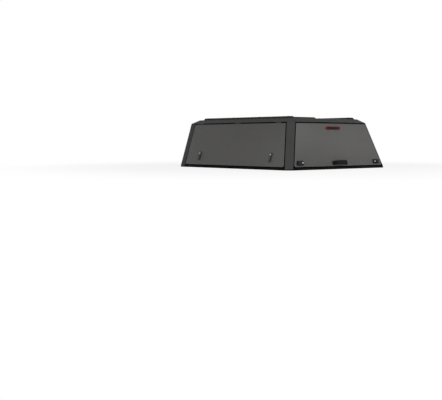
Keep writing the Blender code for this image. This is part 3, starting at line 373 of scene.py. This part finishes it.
def makeLens():
    low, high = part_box("brake_light_rim")
    middle = (low + high) / 2
    made = bpy.data.materials.new("redLens")
    made.use_nodes = True
    tree = made.node_tree
    shader = tree.nodes["Principled BSDF"]
    place = addNode(tree, "ShaderNodeTexCoord")
    centred = addNode(tree, "ShaderNodeMapping", vector_type="POINT")
    centred.inputs["Location"].default_value = -middle
    tree.links.new(place.outputs["Object"], centred.inputs[0])
    split = addNode(tree, "ShaderNodeSeparateXYZ")
    tree.links.new(centred.outputs[0], split.inputs[0])
    halfHeight = (high.z - low.z) / 2
    straight = (high.x - low.x) / 2 - halfHeight
    across = mathNode(tree, "ABSOLUTE", split.outputs["X"])
    beyond = mathNode(tree, "MAXIMUM", mathNode(tree, "SUBTRACT", across, straight), 0.0)
    alongSquared = mathNode(tree, "POWER", beyond, 2.0)
    upSquared = mathNode(tree, "POWER", split.outputs["Z"], 2.0)
    reach = mathNode(tree, "SQRT", mathNode(tree, "ADD", alongSquared, upSquared))
    edge = mapRange(tree, reach, halfHeight * lensLook["borderFrom"], halfHeight * lensLook["borderTo"])
    body = mixColours(tree, edge, lensLook["middle"], lensLook["border"])
    # painted glow: both ends of the lens turn the brighter red
    fromTurn = mathNode(tree, "SUBTRACT", across, straight)
    ends = mapRange(tree, fromTurn, lensLook["paintedGlowFrom"], lensLook["paintedGlowTo"])
    tree.links.new(mixColours(tree, ends, body, lensLook["ends"]), shader.inputs["Base Color"])
    cells = addNode(tree, "ShaderNodeTexVoronoi", distance="CHEBYCHEV")
    prisms = setInputs(cells, Scale=1 / lensLook["prismSize"], Randomness=0.0)
    tree.links.new(centred.outputs[0], prisms.inputs["Vector"])
    bump = addNode(tree, "ShaderNodeBump")
    setInputs(bump, Strength=lensLook["prismBump"], Distance=lensLook["prismDepth"])
    tree.links.new(prisms.outputs["Distance"], bump.inputs["Height"])
    tree.links.new(bump.outputs[0], shader.inputs["Normal"])
    smooth, dull = lensLook["roughness"], lensLook["roughness"] + lensLook["roughnessSpread"]
    rough = mapRange(tree, prisms.outputs["Distance"], 0.0, lensLook["prismReach"], smooth, dull)
    tree.links.new(rough, shader.inputs["Roughness"])
    shader.inputs["Specular IOR Level"].default_value = lensLook["specular"]
    shader.inputs["Coat Weight"].default_value = lensLook["coat"]
    shader.inputs["Coat Roughness"].default_value = lensLook["coatRoughness"]
    return made


materials["red_lens"] = makeLens()

slotOfNode = {part["node"]: part["material_slot"] for part in frame["record"]["subparts"]}
bodyOfNode = {node: body for body, nodes in frame["record"]["behaviour"]["bodies"].items() for node in nodes}
for nodeName, node in cadNodes.items():
    node.data.materials.clear()
    node.data.materials.append(materials[slotOfNode[nodeName]])
print("node finishes set")


smoothBelow = 32  # degrees between faces


def finishPiece(name, shape, slotName, body, nodes=(), finish=None, others=()):
    mesh = bpy.data.meshes.new(name)
    shape.to_mesh(mesh)
    shape.free()
    mesh.materials.append(finish or materials[slotName])
    for other in others:
        mesh.materials.append(other)
    mesh.shade_smooth()
    mesh.set_sharp_from_angle(angle=math.radians(smoothBelow))
    piece = bpy.data.objects.new(name, mesh)
    bpy.context.scene.collection.objects.link(piece)
    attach(piece, body)
    if nodes:
        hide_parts(*nodes)


forming = {
    "mergeWithin": 2e-5, "flatWithin": 0.6,
    "ringTop": {"roof_panel": 0.5435},  # its lowest face runs round an opening and isn't joined up to this height
}


def bevelSharp(shape, width, segments, degrees):
    limit = math.radians(degrees)
    edges = [edge for edge in shape.edges if edge.is_manifold and edge.calc_face_angle(0) > limit]
    bmesh.ops.bevel(
        shape, geom=edges, offset=width, offset_type="OFFSET", affect="EDGES", segments=segments,
        profile=0.5, material=-1, clamp_overlap=True, harden_normals=False,
    )


# the node's own shape with its folded edges rounded, as sheet bends and castings have them
def softenNode(nodeName, width, segments=2, degrees=24, finish=None, others=(), choose=None):
    shape = bmesh.new()
    shape.from_mesh(cadNodes[nodeName].data)
    bmesh.ops.remove_doubles(shape, verts=shape.verts, dist=forming["mergeWithin"])
    level = forming["ringTop"].get(nodeName, -1.0)
    verts = [vert for vert in shape.verts if vert.co.z > level]
    edges = [edge for edge in shape.edges if max(vert.co.z for vert in edge.verts) > level]
    bmesh.ops.dissolve_limit(shape, angle_limit=math.radians(forming["flatWithin"]), verts=verts, edges=edges)
    bevelSharp(shape, width, segments, degrees)
    if choose:
        shape.normal_update()
        for face in shape.faces:
            face.material_index = choose(face.calc_center_median(), face.normal)
    slotName, body = slotOfNode[nodeName], bodyOfNode[nodeName]
    finishPiece(f"{nodeName}_formed", shape, slotName, body, [nodeName], finish, others)


edgeRounding = {
    "base_seal": 0.0015, "rear_sill": 0.0008, "front_base_rail": 0.0008, "left_base_rail": 0.0008,
    "right_base_rail": 0.0008, "left_rear_post": 0.0010, "right_rear_post": 0.0010, "left_front_post": 0.0010,
    "right_front_post": 0.0010, "front_panel": 0.0006, "front_window_gasket": 0.0025, "roof_panel": 0.0010,
    "left_roof_rail": 0.0010, "right_roof_rail": 0.0010, "left_door_frame": 0.0006, "right_door_frame": 0.0006,
    "rear_door_frame": 0.0006, "left_door_seal": 0.0030, "right_door_seal": 0.0030, "rear_door_seal": 0.0030,
    "left_door_inner": 0.0010, "right_door_inner": 0.0010, "rear_door_inner": 0.0010,
    "rear_door_left_latch_plate": 0.0010, "rear_door_right_latch_plate": 0.0010,
    "left_door_front_latch_plate": 0.0010, "left_door_rear_latch_plate": 0.0010,
    "right_door_front_latch_plate": 0.0010, "right_door_rear_latch_plate": 0.0010,
    "rear_pull_handle": 0.0008, "brake_light_rim": 0.0014, "brake_light_lens": 0.0016,
}
sides, doorWords = ("left", "right"), ("left", "right", "rear")
sideLatches = [f"{word}_door_{place}_latch" for word in sides for place in ("front", "rear")]
ownFinish = {"rear_pull_handle": strapTrimAndShade}
for latch in sideLatches:
    ownFinish[f"{latch}_plate"] = latchTrim
    cadNodes[f"{latch}_lever"].data.materials[0] = latchTrim  # the levers keep the CAD's shape
for word in sides:
    ownFinish[f"{word}_roof_rail"] = railPaint
for word in doorWords:
    ownFinish[f"{word}_door_inner"] = doorLining
for nodeName, width in edgeRounding.items():
    softenNode(nodeName, width, finish=ownFinish.get(nodeName))
print("formed edges rounded on", len(edgeRounding), "pieces")

jointAt = {joint["name"]: Vector(joint["pos_m"]) for joint in frame["record"]["behaviour"]["joints"]}
leans = {"side": math.radians(18.6), "rear": math.radians(15.4)}
sideSin, sideCos = math.sin(leans["side"]), math.cos(leans["side"])
rearSin, rearCos = math.sin(leans["rear"]), math.cos(leans["rear"])
doorAxes = {
    "left_door": (Vector((0, -1, 0)), Vector((sideSin, 0, sideCos)), Vector((-sideCos, 0, sideSin))),
    "right_door": (Vector((0, 1, 0)), Vector((-sideSin, 0, sideCos)), Vector((sideCos, 0, sideSin))),
    "rear_door": (Vector((1, 0, 0)), Vector((0, rearSin, rearCos)), Vector((0, -rearCos, rearSin))),
}

# door skins get black rubber on their edge faces, painted shade that darkens the gaps round the doors, and both
# halves of each hinge share a finish
hingeLook = {
    "skinRounding": 0.0011, "railRounding": 0.0004, "railSegments": 1, "railDegrees": 40,
    "gapReach": 0.0068, "edgeTilt": 0.6, "barrelReach": 0.0066,
}
hingeFinish = {word: materials["frame_paint"] for word in sides}
# at the rear both halves of the hinge take the near-black inner paint, painted shade in the gap above the rear door
hingeFinish["rear"] = materials["inner_paint"]


def formDoor(word):
    across, up, outward = doorAxes[f"{word}_door"]
    hinge = jointAt[f"{word}_door_hinge"]

    def skinFinish(centre, normal):
        if (centre - hinge).dot(up) > -hingeLook["gapReach"]:
            return 2
        # skin faces turned away from the outside get black rubber: painted shade in the gaps
        return 1 if abs(normal.dot(outward)) < hingeLook["edgeTilt"] else 0

    def railFinish(centre, normal):
        reach = centre - hinge
        reach = reach - across * reach.dot(across)
        return 1 if reach.length < hingeLook["barrelReach"] else 0

    skinOthers = [materials["seal_rubber"], hingeFinish[word]]
    softenNode(f"{word}_door_skin", hingeLook["skinRounding"], others=skinOthers, choose=skinFinish)
    softenNode(
        f"{word}_hinge_rail", hingeLook["railRounding"], hingeLook["railSegments"], hingeLook["railDegrees"],
        others=[hingeFinish[word]], choose=railFinish,
    )


for word in doorWords:
    formDoor(word)
print("door skins and hinge rails formed")


mergeWithin = 1e-6


# turns a half profile, given as distances from the axis and heights, once round the axis
def lathe(profile, steps):
    shape = bmesh.new()
    points = [shape.verts.new((radius, 0, height)) for radius, height in profile]
    edges = [shape.edges.new(pair) for pair in zip(points, points[1:])]
    bmesh.ops.spin(
        shape, geom=points + edges, cent=(0, 0, 0), axis=(0, 0, 1), dvec=(0, 0, 0), angle=2 * math.pi, steps=steps,
        use_merge=True, use_duplicate=False,
    )
    bmesh.ops.remove_doubles(shape, verts=shape.verts, dist=mergeWithin)
    bmesh.ops.recalc_face_normals(shape, faces=shape.faces)
    return shape


# a low dome: its profile lists shares of the radius and the height between the top and the foot
def makeDome(look):
    radius, height = look["radius"], look["height"]
    between = [(radius * out, height * rise) for out, rise in look["profile"]]
    return lathe([(0, height), *between, (radius, 0), (0, 0)], look["steps"])


# adds a copy of the pattern to the shape
def stamp(shape, pattern, matrix):
    mesh = bpy.data.meshes.new("stamped")
    pattern.to_mesh(mesh)
    mesh.transform(matrix)
    shape.from_mesh(mesh)
    bpy.data.meshes.remove(mesh)


# the matrix that lays a pattern's x, y and z along three directions at a place
def facing(origin, across, up, outward):
    turn = Matrix((across, up, outward)).transposed()
    return Matrix.Translation(origin) @ turn.to_4x4()


# the steel faces of the key cylinders, with a rim, and their keyways
keyLook = {
    "radius": 0.0093, "rim": 0.0012, "chamfer": 0.0002, "thickness": 0.0007, "sink": 0.0003, "steps": 32,
    "wayLength": 0.0078, "wayWidth": 0.0011, "wayProud": 0.0001,
    "upFromSideLever": 0.0195, "upFromRearLever": -0.017, "besideRearLever": -0.0435, "outFromLever": 0.0028,
}
keyPlaces = (
    ("left_door", "left_front_latch", 0), ("left_door", "left_rear_latch", 0),
    ("right_door", "right_front_latch", 0), ("right_door", "right_rear_latch", 0),
    ("rear_door", "rear_left_latch", -1), ("rear_door", "rear_right_latch", 1),
)  # door, joint, and the side on which a rear key lies beside its paddle


def makeKeyFaces():
    radius, thickness = keyLook["radius"], keyLook["thickness"]
    inner = radius - keyLook["rim"]
    low = thickness - keyLook["sink"]
    chamfer = keyLook["chamfer"]
    rim = [(inner, thickness), (radius - chamfer, thickness), (radius, thickness - chamfer), (radius, 0)]
    disc = lathe([(0, low), (inner, low), *rim, (0, 0)], keyLook["steps"])
    way = bmesh.new()
    bmesh.ops.create_cube(way, size=1.0)
    bmesh.ops.scale(way, vec=(keyLook["wayWidth"], keyLook["wayLength"], keyLook["sink"]), verts=way.verts)
    bmesh.ops.translate(way, vec=(0, 0, low + keyLook["wayProud"] - keyLook["sink"] / 2), verts=way.verts)
    for body, jointName, side in keyPlaces:
        across, up, outward = doorAxes[body]
        rise = keyLook["upFromRearLever"] if side else keyLook["upFromSideLever"]
        centre = jointAt[jointName] + across * side * keyLook["besideRearLever"] + up * rise
        centre = centre + outward * keyLook["outFromLever"]
        matrix = facing(centre, across, up, outward)
        word = jointName.replace("_latch", "")
        face, slit = bmesh.new(), bmesh.new()
        stamp(face, disc, matrix)
        stamp(slit, way, matrix)
        # the rear key faces take the darker steel copy, painted shade
        finishPiece(f"{word}_key_face", face, "lock_steel", body, finish=shadedRearSteel if side else None)
        finishPiece(f"{word}_keyway", slit, "black_trim", body)
    disc.free()
    way.free()


makeKeyFaces()
print("key faces added")


# domed ends of the hinge pins, on both ends of each door's knuckles
pinLook = {
    "radius": 0.0037, "height": 0.0014, "profile": ((0.5, 0.86), (0.86, 0.5)), "steps": 20, "halfLength": 0.0441,
    "sideAt": (-0.61271, 0.07962, 0.77195), "rearAt": (-0.44765, 0.0, 0.44765),
}


def makePinEnds():
    dome = makeDome(pinLook)
    for word in doorWords:
        body = f"{word}_door"
        places = pinLook["rearAt"] if word == "rear" else pinLook["sideAt"]
        along = Vector((1, 0, 0)) if word == "rear" else Vector((0, 1, 0))
        shape = bmesh.new()
        for at in places:
            for end in (-1, 1):
                axis = along * end
                centre = jointAt[f"{body}_hinge"] + along * at + axis * pinLook["halfLength"]
                beside = Vector((0, 0, 1)).cross(axis)
                stamp(shape, dome, facing(centre, beside, axis.cross(beside), axis))
        finishPiece(f"{body}_pin_ends", shape, "black_trim", body)
    dome.free()


makePinEnds()
print("hinge pin ends added")


# rivets round the pressed panel at the back of each door
rivetLook = {
    "radius": 0.0042, "height": 0.0013, "profile": ((0.45, 0.9), (0.82, 0.55)), "steps": 16,
    "spacing": 0.155, "depth": 0.0219, "sideFoot": 0.85294, "rearFoot": -0.94209, "footLevel": 0.030,
}
# the lower and the upper row: where it starts and ends along the door, and how far up the door it lies
sideRivetRows = ((-0.8004, 0.8355, 0.0515), (-0.6879, 0.8355, 0.4824))
rivetRows = {
    "left_door": sideRivetRows,
    "right_door": sideRivetRows,
    "rear_door": ((-0.7071, 0.7071, 0.0515), (-0.5702, 0.5702, 0.4733)),
}


def makeRivets():
    head = makeDome(rivetLook)
    for body, (lower, upper) in rivetRows.items():
        across, up, outward = doorAxes[body]
        if body == "rear_door":
            origin = Vector((0, rivetLook["rearFoot"], rivetLook["footLevel"]))
            along = across
        else:
            origin = Vector((math.copysign(rivetLook["sideFoot"], outward.x), 0, rivetLook["footLevel"]))
            along = Vector((0, 1, 0))
        corners = [(lower[0], lower[2]), (lower[1], lower[2]), (upper[1], upper[2]), (upper[0], upper[2])]
        shape = bmesh.new()
        for index, start in enumerate(corners):
            end = corners[(index + 1) % 4]
            count = max(2, round(math.dist(start, end) / rivetLook["spacing"]))
            for step in range(count):
                share = step / count
                reach = start[0] + (end[0] - start[0]) * share
                rise = start[1] + (end[1] - start[1]) * share
                centre = origin + along * reach + up * rise - outward * rivetLook["depth"]
                stamp(shape, head, facing(centre, -across, up, -outward))
        finishPiece(f"{body}_rivets", shape, "inner_paint", body, finish=doorLining)
    head.free()


makeRivets()
print("rivets added")


# button-head socket screws along the tops of the roof rails
screwLook = {
    "radius": 0.0062, "height": 0.0026, "profile": ((0.66, 0.97), (0.88, 0.72), (1, 0.30)), "steps": 24,
    "socket": 0.0027, "socketDepth": 0.0016, "socketSides": 6,
    "across": 0.5243, "level": 0.6112, "places": (-0.60, -0.13, 0.33, 0.80),
}


def makeScrewHead():
    radius, height, socket = screwLook["radius"], screwLook["height"], screwLook["socket"]
    low = height - screwLook["socketDepth"]
    dome = [(radius * out, height * rise) for out, rise in screwLook["profile"]]
    shape = lathe([(0, low), (socket, low), (socket, height), *dome, (radius, 0), (0, 0)], screwLook["steps"])
    halfSide = math.pi / screwLook["socketSides"]
    for vert in shape.verts:
        reach = math.hypot(vert.co.x, vert.co.y)
        if abs(reach - socket) < mergeWithin * 10:  # the socket's round wall becomes a hexagon
            angle = math.atan2(vert.co.y, vert.co.x)
            turned = (angle + halfSide) % (2 * halfSide) - halfSide
            flat = math.cos(halfSide) / math.cos(turned)
            vert.co.x *= flat
            vert.co.y *= flat
    return shape


def makeRailScrews():
    head = makeScrewHead()
    for side, word in ((-1, "left"), (1, "right")):
        shape = bmesh.new()
        for at in screwLook["places"]:
            stamp(shape, head, Matrix.Translation((side * screwLook["across"], at, screwLook["level"])))
        finishPiece(f"{word}_rail_screws", shape, "black_trim", "canopy")
    head.free()


makeRailScrews()
print("rail screws added")


# pale floor that clears to plain white away from the object
floorLook = {
    "size": 60.0, "colour": (0.90, 0.90, 0.90, 1), "roughness": 0.9,
    "clearFrom": 1.5, "clearTo": 4.0, "nearWhite": 0.84,
}


def makeFloor():
    shape = bmesh.new()
    bmesh.ops.create_grid(shape, x_segments=1, y_segments=1, size=floorLook["size"] / 2)
    mesh = bpy.data.meshes.new("studioFloor")
    shape.to_mesh(mesh)
    shape.free()
    made = bpy.data.materials.new("studioFloorPaint")
    made.use_nodes = True
    tree = made.node_tree
    shader = tree.nodes["Principled BSDF"]
    shader.inputs["Base Color"].default_value = floorLook["colour"]
    shader.inputs["Roughness"].default_value = floorLook["roughness"]
    shader.inputs["Specular IOR Level"].default_value = 0.0
    clear = addNode(tree, "ShaderNodeEmission")
    clear.inputs["Color"].default_value = (1, 1, 1, 1)
    place = addNode(tree, "ShaderNodeTexCoord")
    away = addNode(tree, "ShaderNodeVectorMath", operation="LENGTH")
    tree.links.new(place.outputs["Object"], away.inputs[0])
    near, far = floorLook["clearFrom"], floorLook["clearTo"]
    fade = mapRange(tree, away.outputs["Value"], near, far, floorLook["nearWhite"], 1.0)
    paths = addNode(tree, "ShaderNodeLightPath")
    factor = mathNode(tree, "MULTIPLY", fade, paths.outputs["Is Camera Ray"])
    blend = addNode(tree, "ShaderNodeMixShader")
    tree.links.new(factor, blend.inputs[0])
    tree.links.new(shader.outputs[0], blend.inputs[1])
    tree.links.new(clear.outputs[0], blend.inputs[2])
    tree.links.new(blend.outputs[0], tree.nodes["Material Output"].inputs["Surface"])
    mesh.materials.append(made)
    floor = bpy.data.objects.new("studioFloor", mesh)
    bpy.context.scene.collection.objects.link(floor)


makeFloor()

# soft surroundings, bright at the height of the object and dim overhead
worldLook = {"tint": (1.0, 0.995, 0.985, 1), "level": 0.775, "overhead": 0.02, "dimFrom": 0.10, "dimTo": 0.80}


def makeWorld():
    world = bpy.data.worlds.new("studioWorld")
    world.use_nodes = True
    tree = world.node_tree
    fill = tree.nodes["Background"]
    direction = addNode(tree, "ShaderNodeTexCoord")
    split = addNode(tree, "ShaderNodeSeparateXYZ")
    tree.links.new(direction.outputs["Generated"], split.inputs[0])
    dimFrom, dimTo = worldLook["dimFrom"], worldLook["dimTo"]
    strength = mapRange(tree, split.outputs["Z"], dimFrom, dimTo, worldLook["level"], worldLook["overhead"])
    tree.links.new(strength, fill.inputs["Strength"])
    fill.inputs["Color"].default_value = worldLook["tint"]
    white = addNode(tree, "ShaderNodeBackground")
    white.inputs["Color"].default_value = (1, 1, 1, 1)
    paths = addNode(tree, "ShaderNodeLightPath")
    blend = addNode(tree, "ShaderNodeMixShader")
    tree.links.new(paths.outputs["Is Camera Ray"], blend.inputs[0])
    tree.links.new(fill.outputs[0], blend.inputs[1])
    tree.links.new(white.outputs[0], blend.inputs[2])
    tree.links.new(blend.outputs[0], tree.nodes["World Output"].inputs["Surface"])
    bpy.context.scene.world = world


makeWorld()

# soft boxes, all turned to the middle of the object
lampLooks = {
    "softBoxSide": {"at": (-5.8, 0.6, 1.2), "size": 3.0, "watts": 45.0},
    "softBoxCorner": {"at": (-2.6, -2.6, 3.0), "size": 1.6, "watts": 33.0},
    "softBoxRear": {"at": (0.5, -3.3, 1.8), "size": 1.6, "watts": 24.0},
    "softBoxRearRight": {"at": (3.2, -2.8, 1.6), "size": 1.6, "watts": 8.0},
    "softBoxTop": {"at": (0.0, 0.0, 4.0), "size": 3.0, "watts": 19.0},
    "softBoxRight": {"at": (5.4, 2.2, 0.9), "size": 2.0, "watts": 30.0},
    "softBoxFront": {"at": (2.2, 5.4, 0.9), "size": 2.0, "watts": 30.0},
}
target = (Vector(cadBounds[0]) + Vector(cadBounds[1])) / 2
for name, look in lampLooks.items():
    lamp = bpy.data.lights.new(name, "AREA")
    lamp.shape = "SQUARE"
    lamp.size = look["size"]
    lamp.energy = look["watts"]
    holder = bpy.data.objects.new(name, lamp)
    holder.location = look["at"]
    holder.rotation_euler = (target - Vector(look["at"])).to_track_quat("-Z", "Y").to_euler()
    bpy.context.scene.collection.objects.link(holder)

# the photograph's viewing angle
cameraLook = {"at": (-7.456, -7.382, 0.334), "turn": 41.07, "tiltDown": 4.08, "lens": 68.2, "sensor": 36.0}
camera = bpy.data.cameras.new("camera")
camera.lens = cameraLook["lens"]
camera.sensor_width = cameraLook["sensor"]
cameraHolder = bpy.data.objects.new("camera", camera)
cameraHolder.location = cameraLook["at"]
cameraHolder.rotation_euler = (math.radians(90 - cameraLook["tiltDown"]), 0, -math.radians(cameraLook["turn"]))
bpy.context.scene.collection.objects.link(cameraHolder)
bpy.context.scene.camera = cameraHolder
bpy.context.scene.view_settings.view_transform = "Standard"
print("stage, lights and camera set")
